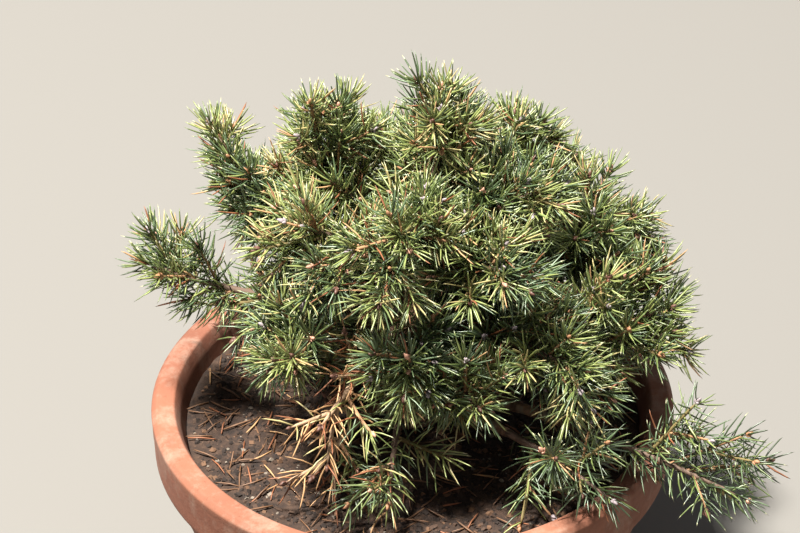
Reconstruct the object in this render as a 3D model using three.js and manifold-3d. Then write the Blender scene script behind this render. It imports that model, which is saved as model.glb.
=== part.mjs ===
// A dwarf spruce in a plain shallow clay pot.
// Millimetres, +Z up. The origin is the middle of the pot's flat underside, and -Y is the plant's front.
// The trunk carries boughs in three tiers. Each bough ends where it enters its mass of foliage: a stem that
// grows on from the bough through a dense middle, with side shoots that bristle with needles.
import * as THREE from 'three';
import { mergeVertices } from 'three/addons/utils/BufferGeometryUtils.js';
import Module from 'manifold-3d';

const wasm = await Module();
wasm.setup();

// Driving dimensions
const clearance = 0.3; // between solids that touch on the real plant
const pot = {
  rimRadius: 102, footRadius: 76, height: 86, wall: 7, floor: 9, collarHeight: 22, collarProud: 4,
  rounding: 2, lip: 2, sides: 32, drains: 3, drainRadius: 6, drainFromAxis: 40, drainSides: 8, firstDrain: 30
};
const soil = { belowRim: 11, doming: 3, flatRadius: 16 };
const trunk = {
  height: 104, lean: [8, 5], bow: [-6, 3], radius: 6.4, tipRadius: 2.3, flare: 4.8, flareHeight: 9,
  sides: 9, segments: 11
};
const bough = { share: 0.42, bendAt: 0.55, sides: 5, segments: 3 }; // the share of its line that is bare
const stem = { sides: 3, segments: 3, endsBefore: 0.03 };
const needle = { length: 13, overshoot: 9, leanAtNeck: 42, leanAtTip: 64, leansFrom: 0.4, neck: 0.24 };
const shoot = {
  longest: 40, shortest: 15, tipShare: 0.7, varies: 0.3, shrink: 0.9, apart: 14, keepOff: 5.5, girth: 2,
  shape: { sides: 3, girths: [0, 1.4, 2.7, 2.5, 0] }
};
// The dense part of a mass, and the spiral of side shoots round its stem
const middle = { from: 0.05, to: 0.8, shape: { sides: 5, girths: [0, 7, 10, 8, 0] } };
const spiral = {
  turn: 137.5, step: 0.618, from: 0.04, to: 0.88, spread: [74, 34], spreadVaries: 14, lift: 0.18
};
const crown = { seed: 7, cellCentre: 0.55, cellMargin: 0.4, middleShare: 0.4, overSoil: 1.5, offWood: 0.6 };

// Each tier's boughs leave the trunk between two heights above the soil, and their line bends at a share of
// its rise, or stands over both its ends. A bough has a name, its bearing in degrees round from +X, and its
// mass's furthest tip as a reach from the axis and a height above the soil.
const tiers = {
  upper: {
    leaves: [64, 92], step: 3, rise: 0.3, radii: [2.7, 1.7, 0.9], shoots: 6, stout: 1,
    boughs: [
      ['left', 151, 52, 136], ['front_left', 209, 54, 110], ['front', 262, 48, 118],
      ['front_right', 308, 60, 104], ['right', 350, 54, 116], ['back_right', 47, 73, 110],
      ['back', 106, 56, 116]
    ]
  },
  middle: {
    leaves: [28, 62], step: 5, rise: 0.28, radii: [3.3, 2.0, 1.0], shoots: 6, stout: 1,
    boughs: [
      ['left_high', 154, 93, 120], ['left', 176, 112, 70], ['left_front', 194, 97, 56],
      ['front_left', 218, 84, 66], ['front_left_low', 243, 84, 44], ['front', 268, 84, 64],
      ['front_right', 294, 90, 48], ['right_front', 320, 92, 62], ['right', 346, 110, 60],
      ['right_high', 10, 82, 92], ['right_back', 30, 106, 62], ['back', 78, 94, 70],
      ['back_left', 128, 102, 66]
    ]
  },
  skirt: {
    leaves: [9, 25], step: 3, over: 9.6, radii: [2.8, 1.7, 0.9], shoots: 4, stout: 0.6,
    boughs: [
      ['left', 186, 66, 30], ['front_left', 238, 80, 13], ['front', 263, 86, 12],
      ['front_right', 314, 116, 16], ['right', 328, 156, 17], ['right_back', 12, 88, 24],
      ['back', 92, 92, 22], ['back_left', 146, 96, 24]
    ]
  }
};
const leader = { shoots: 7, stout: 0.7, pastTrunk: [3, 2, 52] };

// Fineness of the meshes: the shortest edge kept, and the distance within which two points are one
const finest = 0.12;
const onePoint = 1e-3;
const curveSteps = 64;

// How far the spindles are turned about their lines, in radians. Five masses have their own turn.
const firstTwist = 0.06;
const otherTwists = {
  upper_front: 0.125,
  upper_front_left: 0.125,
  upper_back_right: 0.02,
  middle_right_high: 0.07,
  skirt_right_back: 0.03,
};

const bark = new THREE.MeshStandardMaterial({ color: 0x6f5642, roughness: 0.9, metalness: 0 });
const clay = new THREE.MeshStandardMaterial({ color: 0xb5694a, roughness: 0.85, metalness: 0 });
const compost = new THREE.MeshStandardMaterial({ color: 0x3a2a20, roughness: 1, metalness: 0 });
const green = new THREE.MeshStandardMaterial({ color: 0x5d7a3c, roughness: 0.6, metalness: 0 });

const radians = THREE.MathUtils.degToRad;
const mix = THREE.MathUtils.lerp;
const soilLevel = pot.height - soil.belowRim + soil.doming;

// A small seeded generator, the same on every run.
function seeded(seed) {
  let state = seed >>> 0;
  return () => {
    state = (state + 0x6d2b79f5) >>> 0;
    let mixed = Math.imul(state ^ (state >>> 15), 1 | state);
    mixed = (mixed + Math.imul(mixed ^ (mixed >>> 7), 61 | mixed)) ^ mixed;
    return ((mixed ^ (mixed >>> 14)) >>> 0) / 4294967296;
  };
}

// Solids from three.js geometry, and back

function toSolid(geometry) {
  const bare = geometry.clone();
  bare.deleteAttribute('normal');
  bare.deleteAttribute('uv');
  const merged = mergeVertices(bare, onePoint);
  return new wasm.Manifold(new wasm.Mesh({
    numProp: 3,
    vertProperties: merged.attributes.position.array,
    triVerts: new Uint32Array(merged.index.array)
  }));
}

function toGeometry(solid) {
  const mesh = solid.getMesh();
  return new THREE.BufferGeometry()
    .setAttribute('position', new THREE.BufferAttribute(new Float32Array(mesh.vertProperties), 3))
    .setIndex(new THREE.BufferAttribute(new Uint32Array(mesh.triVerts), 1));
}

// The largest body of a solid: loose scraps are dropped, and a hollow that joining sealed is filled.
function largestBody(solid) {
  return solid.decompose().reduce((best, body) => (body.volume() > best.volume() ? body : best));
}

function joined(solids) {
  return largestBody(solids.reduce((whole, part) => whole.add(part)).asOriginal().simplify(finest));
}

// Whether two stretches of a solid's surface touch, so that two of its points are in one place.
function touchesItself(solid) {
  const { vertProperties } = toSolid(toGeometry(solid).toNonIndexed()).getMesh();
  const places = new Set();
  for (let i = 0; i < vertProperties.length; i += 3) {
    places.add([0, 1, 2].map((axis) => Math.round(vertProperties[i + axis] / onePoint)).join());
  }
  return places.size < vertProperties.length / 3;
}

// Bends a shape that stands from y = -0.5 to 0.5 along a stretch of a curve. radiusAt scales its girth there.
function alongCurve(shape, curve, from, to, radiusAt) {
  const frames = curve.computeFrenetFrames(curveSteps, false);
  const place = shape.attributes.position;
  for (let i = 0; i < place.count; i++) {
    const share = place.getY(i) + 0.5;
    const t = mix(from, to, share);
    const k = Math.round(t * curveSteps);
    const radius = radiusAt(share);
    const point = curve.getPoint(t)
      .addScaledVector(frames.binormals[k], place.getX(i) * radius)
      .addScaledVector(frames.normals[k], place.getZ(i) * radius);
    place.setXYZ(i, point.x, point.y, point.z);
  }
  return shape;
}

function taperedLimb(curve, from, to, startRadius, endRadius, { sides, segments }) {
  const shape = new THREE.CylinderGeometry(1, 1, 1, sides, segments);
  return alongCurve(shape, curve, from, to, (share) => mix(startRadius, endRadius, share));
}

// Pot and soil

function potOutline() {
  const { rimRadius, footRadius, height, wall, floor, collarHeight, collarProud, rounding, lip } = pot;
  const under = height - collarHeight;
  const bodyAt = (z) => mix(footRadius, rimRadius - collarProud, z / under);
  const mouth = rimRadius - wall - lip;
  return {
    outer: [
      [0, 0], [footRadius - rounding, 0], [footRadius, rounding], [bodyAt(under), under],
      [rimRadius - 1, under + 1], [rimRadius, height - rounding], [rimRadius - rounding, height]
    ],
    inner: [
      [mouth, height], [mouth - lip, height - rounding - lip], [bodyAt(floor) - wall, floor], [0, floor]
    ]
  };
}

const spun = (profile) => new THREE.LatheGeometry(profile.map(([x, y]) => new THREE.Vector2(x, y)), pot.sides)
  .rotateX(Math.PI / 2);

function makePot() {
  const { outer, inner } = potOutline();
  let body = toSolid(spun([...outer, ...inner]));
  for (let i = 0; i < pot.drains; i++) {
    const bearing = radians((360 / pot.drains) * i + pot.firstDrain);
    const hole = new THREE.CylinderGeometry(pot.drainRadius, pot.drainRadius, pot.floor * 3, pot.drainSides)
      .rotateX(Math.PI / 2)
      .translate(pot.drainFromAxis * Math.cos(bearing), pot.drainFromAxis * Math.sin(bearing), 0);
    body = body.subtract(toSolid(hole));
  }
  return toGeometry(body);
}

function makeSoil() {
  const [, [lipRadius, lipLevel], [footRadius, footLevel]] = potOutline().inner;
  const wallAt = (z) => mix(footRadius, lipRadius, (z - footLevel) / (lipLevel - footLevel)) - clearance * 2;
  const bottom = footLevel + clearance;
  const edge = pot.height - soil.belowRim;
  return spun([
    [0, bottom], [wallAt(bottom), bottom], [wallAt(edge), edge],
    [mix(soil.flatRadius, wallAt(edge), 0.5), edge + soil.doming * 0.7],
    [soil.flatRadius, soilLevel], [0, soilLevel]
  ]);
}

// Trunk

const trunkFoot = new THREE.Vector3(0, 0, soilLevel + clearance);
const trunkTip = new THREE.Vector3(...trunk.lean, soilLevel + trunk.height);
const trunkBend = new THREE.Vector3(...trunk.bow, soilLevel + trunk.height / 2);
const trunkLine = new THREE.QuadraticBezierCurve3(trunkFoot, trunkBend, trunkTip);

function trunkRadius(share) {
  const spreading = Math.max(0, 1 - (share * trunk.height) / trunk.flareHeight);
  return mix(trunk.radius, trunk.tipRadius, share) + trunk.flare * spreading ** 2;
}

function makeTrunk(grown) {
  const shape = new THREE.CylinderGeometry(1, 1, 1, trunk.sides, trunk.segments);
  const made = alongCurve(shape, trunkLine, 0, 1, (share) => trunkRadius(share) + grown);
  const place = made.attributes.position;
  for (let i = 0; i < place.count; i++) place.setZ(i, Math.max(place.getZ(i), trunkFoot.z)); // the flat cut
  return made;
}

// Every bough and mass as a plan: one line from the trunk to the mass's furthest tip, bare up to plan.from.

function boughPlan(tierName, tier, [name, bearing, reach, height], i) {
  const count = tier.boughs.length;
  const order = (i * tier.step) % count; // neighbours leave the trunk at heights that are far apart
  const start = trunkLine.getPoint(mix(...tier.leaves, order / (count - 1)) / trunk.height);
  const angle = radians(bearing);
  const tip = new THREE.Vector3(reach * Math.cos(angle), reach * Math.sin(angle), soilLevel + height);
  const bend = start.clone().lerp(tip, bough.bendAt);
  bend.z = tier.over ? Math.max(start.z, tip.z) + tier.over : mix(start.z, tip.z, tier.rise);
  return {
    name: `${tierName}_${name}`, tier, bearing: angle, radii: tier.radii, from: bough.share,
    line: new THREE.QuadraticBezierCurve3(start, bend, tip)
  };
}

function leaderPlan() {
  const tip = trunkTip.clone().add(new THREE.Vector3(...leader.pastTrunk));
  return {
    name: 'leader', tier: leader, bearing: Math.atan2(trunk.lean[1], trunk.lean[0]), radii: tiers.upper.radii,
    from: 0, line: new THREE.QuadraticBezierCurve3(trunkTip, trunkTip.clone().lerp(tip, 0.5), tip)
  };
}

function planCrown() {
  const plans = Object.entries(tiers).flatMap(([tierName, tier]) => (
    tier.boughs.map((described, i) => boughPlan(tierName, tier, described, i))));
  plans.push(leaderPlan());
  const crownMiddle = trunkLine.getPoint(crown.middleShare);
  for (const plan of plans) {
    plan.centre = plan.line.getPoint(mix(plan.from, 1, crown.cellCentre));
    plan.end = 1 - needle.overshoot / plan.line.getLength(); // the last bud, short of the furthest needle
    plan.tip = plan.line.getPoint(1);
    plan.outward = plan.tip.clone().sub(crownMiddle).normalize();
  }
  return plans;
}

// The space that a mass may use: nearer to its own centre than to any other's, no further out from the
// crown's middle than its tip, and off the limbs, the soil and the rim.

function makeSpace(plan, plans, wood) {
  const walls = plans.filter((other) => other !== plan).map((other) => {
    const normal = other.centre.clone().sub(plan.centre).normalize();
    const halfway = other.centre.clone().add(plan.centre).multiplyScalar(0.5);
    return { normal, limit: normal.dot(halfway) - crown.cellMargin };
  });
  walls.push({ normal: plan.outward, limit: plan.outward.dot(plan.tip) });
  const rimStarts = pot.rimRadius - pot.wall * 2;
  const inCell = (p) => walls.every((wall) => wall.normal.dot(p) < wall.limit);
  const overPot = (p) => p.z > (Math.hypot(p.x, p.y) > rimStarts ? pot.height : soilLevel) + crown.overSoil;
  const offWood = (p, girth) => (
    wood.every(({ point, radius }) => point.distanceTo(p) > radius + girth + crown.offWood));
  const free = (p, girth) => inCell(p) && overPot(p) && offWood(p, girth);
  const freeLine = (line) => [0.3, 0.5, 0.7, 0.85, 1].every((t) => free(line.getPoint(t), shoot.girth));
  return { free, freeLine };
}

// A spindle along a stretch of a line: the body of a shoot, or of a mass's dense middle. A point of it that
// would leave the space is drawn in towards the line.

function spindle({ line, from, to, stout }, { sides, girths }, space, twist) {
  const last = girths.length - 1;
  const shape = new THREE.SphereGeometry(1, sides, last);
  const place = shape.attributes.position;
  for (let i = 0; i < place.count; i++) {
    const ring = Math.round((Math.acos(THREE.MathUtils.clamp(-place.getY(i), -1, 1)) / Math.PI) * last);
    const turn = Math.atan2(place.getZ(i), place.getX(i)) + (ring * Math.PI) / sides + twist;
    const girth = girths[ring] * stout;
    place.setXYZ(i, girth * Math.cos(turn), ring / last - 0.5, girth * Math.sin(turn));
  }
  const onLine = Array.from({ length: place.count }, (_, i) => (
    line.getPoint(mix(from, to, place.getY(i) + 0.5))));
  alongCurve(shape, line, from, to, () => 1);
  onLine.forEach((axial, i) => {
    const point = new THREE.Vector3().fromBufferAttribute(place, i);
    for (let tries = 0; tries < 8 && !space.free(point, 0.8); tries++) point.lerp(axial, 0.2);
    place.setXYZ(i, point.x, point.y, point.z);
  });
  return shape;
}

// Draws a needle out of every face of a spindle past its neck, where it has room and meets no other shoot.

function bristle(body, { line, from, to }, space, others) {
  const clear = (p) => (
    space.free(p, 0.4) && others.every(({ point, radius }) => point.distanceTo(p) > radius));
  const { index, attributes } = mergeVertices(body.deleteAttribute('uv').deleteAttribute('normal'), onePoint);
  const points = Array.from({ length: attributes.position.count }, (_, i) => (
    new THREE.Vector3().fromBufferAttribute(attributes.position, i)));
  const start = line.getPoint(from);
  const along = line.getPoint(to).sub(start);
  const length = along.length();
  along.normalize();
  const faces = [];
  for (let i = 0; i < index.count; i += 3) {
    const face = [index.getX(i), index.getX(i + 1), index.getX(i + 2)];
    if (new Set(face).size < 3) continue;
    const root = face.reduce((sum, k) => sum.add(points[k]), new THREE.Vector3()).divideScalar(3);
    const share = root.clone().sub(start).dot(along) / length;
    const outward = root.clone().sub(start).addScaledVector(along, -share * length).normalize();
    const towardsTip = Math.max(0, share - needle.leansFrom) / (1 - needle.leansFrom);
    const lean = radians(mix(needle.leanAtNeck, needle.leanAtTip, towardsTip));
    const point = root.clone()
      .addScaledVector(outward, needle.length * Math.cos(lean))
      .addScaledVector(along, needle.length * Math.sin(lean));
    if (share > needle.neck && clear(point) && clear(root.clone().lerp(point, 0.5))) {
      const k = points.push(point) - 1;
      faces.push([face[0], face[1], k], [face[1], face[2], k], [face[2], face[0], k]);
    } else {
      faces.push(face);
    }
  }
  return toSolid(new THREE.BufferGeometry()
    .setAttribute('position', new THREE.Float32BufferAttribute(points.flatMap((p) => [p.x, p.y, p.z]), 3))
    .setIndex(faces.flat()));
}

// The side shoots of one mass, by a seeded rule: they spiral round the stem with their tips apart, and a
// crowded one is shortened. The last one is the stem's own tip.

function planShoots(plan, space, random) {
  const shoots = [];
  const firstRoll = random() * Math.PI * 2;
  for (let i = 0; i < plan.tier.shoots * 4 && shoots.length < plan.tier.shoots; i++) {
    const share = (i * spiral.step) % 1;
    const t = mix(plan.from, plan.end, mix(spiral.from, spiral.to, share));
    const base = plan.line.getPoint(t);
    const tangent = plan.line.getTangent(t);
    const side = new THREE.Vector3(-Math.sin(plan.bearing), Math.cos(plan.bearing), 0);
    side.addScaledVector(tangent, -side.dot(tangent)).normalize();
    const over = tangent.clone().cross(side);
    const roll = firstRoll + i * radians(spiral.turn);
    const spread = radians(mix(...spiral.spread, share) + spiral.spreadVaries * (random() - 0.5));
    const heading = tangent.clone().multiplyScalar(Math.cos(spread))
      .addScaledVector(side, Math.cos(roll) * Math.sin(spread))
      .addScaledVector(over, Math.sin(roll) * Math.sin(spread));
    heading.z += spiral.lift;
    heading.normalize();
    let length = shoot.longest * mix(1, shoot.tipShare, share) * (1 + shoot.varies * (random() - 0.5));
    const lineOf = () => new THREE.LineCurve3(base, base.clone().addScaledVector(heading, length));
    while (length > shoot.shortest && !space.freeLine(lineOf())) length *= shoot.shrink;
    const line = lineOf();
    const apart = shoots.every((other) => other.line.v2.distanceTo(line.v2) > shoot.apart);
    if (length > shoot.shortest && apart) {
      shoots.push({ line, from: 0, to: 1, stout: 1 });
    }
  }
  const lastBase = plan.line.getPoint(mix(plan.from, plan.end, 0.6));
  const last = new THREE.LineCurve3(lastBase, plan.line.getPoint(plan.end));
  shoots.push({ line: last, from: 0, to: 1, stout: 1 });
  return shoots;
}

// Points along a spindle that no other spindle's needle may come near
const guards = ({ line, from, to }, shares, radius) => (
  shares.map((share) => ({ point: line.getPoint(mix(from, to, share)), radius })));

function makeMass(plan, space, random) {
  const startsAt = plan.from + (clearance * 1.2) / plan.line.getLength();
  const [, joint, tip] = plan.radii;
  const main = toSolid(taperedLimb(plan.line, startsAt, plan.end - stem.endsBefore, joint, tip, stem));
  const dense = {
    line: plan.line, from: mix(plan.from, plan.end, middle.from), to: mix(plan.from, plan.end, middle.to),
    stout: plan.tier.stout
  };
  const shoots = planShoots(plan, space, random);
  const denseRadius = Math.max(...middle.shape.girths) * dense.stout + 1;
  const denseGuards = guards(dense, [0.2, 0.35, 0.5, 0.65, 0.8], denseRadius);
  const shootGuards = shoots.map((each) => guards(each, [0.35, 0.5, 0.65, 0.8, 0.95], shoot.keepOff));
  // a mass whose surface touches itself is made again with its spindles turned a little
  for (let twist = otherTwists[plan.name] ?? firstTwist; twist < Math.PI; twist += 0.13) {
    const heart = bristle(spindle(dense, middle.shape, space, twist), dense, space, shootGuards.flat());
    const sides = shoots.map((each, i) => bristle(
      spindle(each, shoot.shape, space, twist), each, space,
      [...denseGuards, ...shootGuards.filter((_, k) => k !== i).flat()]
    ));
    const mass = joined([main, heart, ...sides]);
    if (!touchesItself(mass)) return mass;
  }
  throw new Error(`${plan.name} touches itself at every twist`);
}

// Assembly

const tree = new THREE.Group();
function add(name, geometry, material) {
  const mesh = new THREE.Mesh(geometry, material);
  mesh.name = name;
  tree.add(mesh);
}

add('pot', makePot(), clay);
add('soil', makeSoil(), compost);
add('trunk', makeTrunk(0), bark);

const plans = planCrown();
const wood = []; // points down the middle of the limbs, with the radius there
for (let t = 0; t <= 1; t += 0.02) wood.push({ point: trunkLine.getPoint(t), radius: trunkRadius(t) });
let taken = toSolid(makeTrunk(clearance)); // the trunk and the boughs so far, grown by their clearance
for (const plan of plans.filter(({ name }) => name !== 'leader')) {
  const [base, joint] = plan.radii;
  const limb = (grown) => toSolid(taperedLimb(plan.line, 0, plan.from, base + grown, joint + grown, bough));
  add(`${plan.name}_bough`, toGeometry(largestBody(limb(0).subtract(taken))), bark);
  taken = taken.add(limb(clearance));
  for (let t = 0; t <= plan.from; t += 0.02) {
    wood.push({ point: plan.line.getPoint(t), radius: mix(base, joint, t / plan.from) });
  }
}
plans.forEach((plan, i) => {
  const space = makeSpace(plan, plans, wood);
  add(`${plan.name}_foliage`, toGeometry(makeMass(plan, space, seeded(crown.seed + i))), green);
});

export default tree;
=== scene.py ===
import math

import bmesh
import bpy
import numpy as np
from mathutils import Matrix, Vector, noise


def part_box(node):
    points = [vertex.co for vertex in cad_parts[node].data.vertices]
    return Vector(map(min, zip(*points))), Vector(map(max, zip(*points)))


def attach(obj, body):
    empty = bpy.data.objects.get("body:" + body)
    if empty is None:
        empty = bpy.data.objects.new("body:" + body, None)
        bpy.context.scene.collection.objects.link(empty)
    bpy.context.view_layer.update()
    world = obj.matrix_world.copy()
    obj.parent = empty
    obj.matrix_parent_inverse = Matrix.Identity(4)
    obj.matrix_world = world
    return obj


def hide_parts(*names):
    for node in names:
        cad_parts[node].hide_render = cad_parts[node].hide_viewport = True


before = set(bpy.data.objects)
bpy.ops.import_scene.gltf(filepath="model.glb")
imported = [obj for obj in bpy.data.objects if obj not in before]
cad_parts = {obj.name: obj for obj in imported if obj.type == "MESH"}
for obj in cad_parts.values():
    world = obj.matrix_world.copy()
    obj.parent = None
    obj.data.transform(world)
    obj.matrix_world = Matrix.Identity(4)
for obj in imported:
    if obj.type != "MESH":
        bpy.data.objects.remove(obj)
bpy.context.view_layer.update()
mm = 0.001
roughTurn = 6.28  # about a full turn, for a first roll by chance
print("frame loaded:", len(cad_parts), "nodes")


# Small helpers

def mix(a, b, share):
    return a + (b - a) * share


def unit(vectors):
    return vectors / np.linalg.norm(vectors, axis=-1, keepdims=True)


def meshFrom(bm, name):
    mesh = bpy.data.meshes.new(name)
    bm.to_mesh(mesh)
    bm.free()
    return mesh


def srgb(red, green, blue):  # a colour as a painter reads it, 0 to 255, made linear
    parts = [(part / 255 + 0.055) / 1.055 for part in (red, green, blue)]
    return tuple(part ** 2.4 for part in parts) + (1.0,)


class Wire:  # one socket, so that shader maths reads as sums
    def __init__(self, sheet, socket):
        self.sheet = sheet
        self.socket = socket

    def sum(self, operation, *values):
        return self.sheet.add("ShaderNodeMath", {"operation": operation}, dict(enumerate(values)))

    def __add__(self, other):
        return self.sum("ADD", self, other)

    def __mul__(self, other):
        return self.sum("MULTIPLY", self, other)


class NodeSheet:  # the nodes of one material
    def __init__(self, name):
        self.material = bpy.data.materials.new(name)
        self.material.use_nodes = True
        self.tree = self.material.node_tree
        self.shader = self.tree.nodes["Principled BSDF"]
        self.place = None

    def add(self, kind, settings=None, sockets=None, output=0):
        node = self.tree.nodes.new(kind)
        for name, value in (settings or {}).items():
            setattr(node, name, value)
        for name, value in (sockets or {}).items():
            self.feed(node.inputs[name], value)
        return Wire(self, node.outputs[output])

    def feed(self, socket, value):
        if isinstance(value, Wire):
            self.tree.links.new(value.socket, socket)
        else:
            socket.default_value = value

    def spot(self, scale=(1, 1, 1)):  # the place on the piece, stretched
        if self.place is None:
            self.place = self.add("ShaderNodeTexCoord", output="Object")
        return self.add("ShaderNodeMapping", sockets={"Vector": self.place, "Scale": scale})

    def noise(self, scale, detail=3.0, roughness=0.5, stretch=(1, 1, 1)):
        return self.add("ShaderNodeTexNoise", sockets={
            "Vector": self.spot(stretch), "Scale": scale, "Detail": detail, "Roughness": roughness})

    def between(self, value, low, high, out=(0.0, 1.0)):
        return self.add("ShaderNodeMapRange", sockets={
            "Value": value, "From Min": low, "From Max": high, "To Min": out[0], "To Max": out[1]})

    def blend(self, share, first, second):  # 6, 7 and output 2 are the node's colours
        return self.add(
            "ShaderNodeMix", {"data_type": "RGBA"}, {0: share, 6: first, 7: second}, output=2)

    def bump(self, height, strength, distance):
        return self.add("ShaderNodeBump", sockets={
            "Height": height, "Strength": strength, "Distance": distance})

    def finish(self, **sockets):
        for name, value in sockets.items():
            self.feed(self.shader.inputs[name.replace("_", " ")], value)
        return self.material


# How the tree grows, in millimetres. The solids of its limbs and masses follow the same rule.

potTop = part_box("pot")[1] / mm
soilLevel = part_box("soil")[1].z / mm
clearance = 0.3

trunk = dict(
    height=104, lean=(8, 5), bow=(-6, 3), radius=6.4, tipRadius=2.3, flare=4.8, flareHeight=9,
)
bough = dict(bare=0.42, bendAt=0.55)
spiral = dict(turn=137.5, step=0.618, start=0.04, end=0.88, spread=(74, 34), varies=14, lift=0.18)
stemShoot = dict(tipRadius=0.6, needledFrom=0.3)
sideShoot = dict(
    longest=40, shortest=15, tipShare=0.7, varies=0.3, shrink=0.9, apart=14, girth=2, least=0.45,
    radii=(0.95, 0.6), needledFrom=0.1, cuts=25,
)
crooked = dict(strays=0.035, sags=0.03)  # of a shoot's length
crown = dict(  # what all masses share, and where single ones are kept shorter or rounder
    seed=7, cellCentre=0.55, cellMargin=0.4, middle=0.4, overSoil=1.5, offWood=0.6, lastNeedle=9,
    rimWidth=14, insideTo=0.5, sparse=("middle_front_left_low", "middle_left_front"),
    tipRound=dict(
        upper=27, middle=44, skirt=40, leader=8, upper_left=14, upper_back=22, upper_back_right=13,
        middle_left_high=5, middle_left=13, skirt_front=15),
    shortened=dict(
        middle_left_front=0.72, middle_front_left=0.93, middle_front=0.78, middle_front_right=0.76,
        upper_back=0.9),
    underside=dict(  # the least height over the soil: a slope outward and a drop
        middle_front_left=(0.88, 5), middle_front=(0.88, 5), middle_front_right=(0.88, 5),
        middle_left=(0, -57)),
)

# A tier's boughs leave the trunk between two heights, step by step round the tier. Each has a name,
# a bearing in degrees, and its furthest tip's reach and height over the soil.
tiers = dict(
    upper=dict(
        leaves=(64, 92), step=3, rise=0.3, radii=(2.7, 1.7, 0.9), shoots=6,
        boughs=[
            ("left", 151, 52, 136), ("front_left", 209, 54, 110), ("front", 262, 48, 118),
            ("front_right", 308, 60, 104), ("right", 350, 54, 116), ("back_right", 47, 73, 110),
            ("back", 106, 56, 116),
        ],
    ),
    middle=dict(
        leaves=(28, 62), step=5, rise=0.28, radii=(3.3, 2.0, 1.0), shoots=6,
        boughs=[
            ("left_high", 154, 93, 120), ("left", 176, 112, 70), ("left_front", 194, 97, 56),
            ("front_left", 218, 84, 66), ("front_left_low", 243, 84, 44), ("front", 268, 84, 64),
            ("front_right", 294, 90, 48), ("right_front", 320, 92, 62), ("right", 346, 110, 60),
            ("right_high", 10, 82, 92), ("right_back", 30, 106, 62), ("back", 78, 94, 70),
            ("back_left", 128, 102, 66),
        ],
    ),
    skirt=dict(
        leaves=(9, 25), step=3, over=9.6, radii=(2.8, 1.7, 0.9), shoots=4,
        boughs=[
            ("left", 186, 66, 30), ("front_left", 238, 80, 13), ("front", 263, 86, 12),
            ("front_right", 314, 116, 16), ("right", 328, 156, 17), ("right_back", 12, 88, 24),
            ("back", 92, 92, 22), ("back_left", 146, 96, 24),
        ],
    ),
)
leader = dict(shoots=7, pastTrunk=(3, 2, 52))

# what the solids leave out: finer shoots on every side shoot and stem
finerShoot = dict(
    at=(0.2, 0.34, 0.48, 0.61, 0.74, 0.85, 0.95), strays=0.02, within=(0.05, 0.97),
    stemEvery=4.4, stemFrom=0.7, stemLonger=1.1, stemSpread=(62, 34), spread=(54, 32),
    spreadVaries=5, longest=28, shortest=6, tipShare=0.5, varies=0.6, shrink=0.87, apart=6.6,
    girth=1, lift=0.2, ofParent=0.85, insideTip=2, uneven=17, radii=(0.62, 0.45),
    needledFrom=0.04, sameSpray=0.75,
)
lowShoot = dict(  # sparse ones, near the soil
    finerShoot, at=(0.45, 0.85), stemEvery=13, apart=11, lift=-0.05)
innerShoot = dict(  # short ones on the bare part of a bough, and on the trunk
    finerShoot, at=(0.3, 0.45, 0.6, 0.72, 0.84, 0.95), spread=(74, 60), longest=17, apart=5,
    onTrunk=(0.56, 0.62, 0.68, 0.73, 0.78, 0.82, 0.86, 0.9, 0.94))


def seeded(seed):
    full = 0xFFFFFFFF
    state = seed

    def roll():
        nonlocal state
        state = (state + 0x6D2B79F5) & full
        mixed = ((state ^ (state >> 15)) * (1 | state)) & full
        mixed = ((mixed + (mixed ^ (mixed >> 7)) * (61 | mixed)) & full) ^ mixed
        return (mixed ^ (mixed >> 14)) / 4294967296

    return roll


class Curve:  # a curve with one bend, from its start to its tip
    def __init__(self, start, bend, tip):
        self.start, self.bend, self.tip = (np.array(p, float) for p in (start, bend, tip))

    def point(self, t):
        t = np.asarray(t, float)[..., None]
        return (1 - t) ** 2 * self.start + 2 * t * (1 - t) * self.bend + t ** 2 * self.tip

    def heading(self, t):
        t = np.asarray(t, float)[..., None]
        return unit((1 - t) * (self.bend - self.start) + t * (self.tip - self.bend))

    def length(self):
        return np.linalg.norm(np.diff(self.point(np.linspace(0, 1, 201)), axis=0), axis=1).sum()

    def across(self, t):  # two directions square to the heading
        heading = self.heading(t)
        least = np.argmin(np.abs(self.tip - self.start))
        side = unit(np.cross(np.eye(3)[least], heading))
        return side, np.cross(heading, side)


trunkLine = Curve(
    (0, 0, soilLevel + clearance), (*trunk["bow"], soilLevel + trunk["height"] / 2),
    (*trunk["lean"], soilLevel + trunk["height"]),
)


def trunkRadius(share):
    spreading = np.maximum(0, 1 - share * trunk["height"] / trunk["flareHeight"])
    return mix(trunk["radius"], trunk["tipRadius"], share) + trunk["flare"] * spreading ** 2


class Mass:  # one mass of foliage and the bough that carries it, on one line
    def __init__(self, name, tier, shoots, bearing, radii, bare, line):
        self.name, self.tier, self.shoots, self.bearing = name, tier, shoots, bearing
        self.radii, self.bare, self.line = radii, bare, line
        reach = crown["shortened"].get(name, 1)
        self.centre = line.point(mix(bare, 1, crown["cellCentre"]))
        self.end = reach - crown["lastNeedle"] / line.length()
        self.tip = line.point(reach)
        self.outward = unit(self.tip - trunkLine.point(crown["middle"]))
        self.low = tier == "skirt" or name in crown["sparse"]


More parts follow.
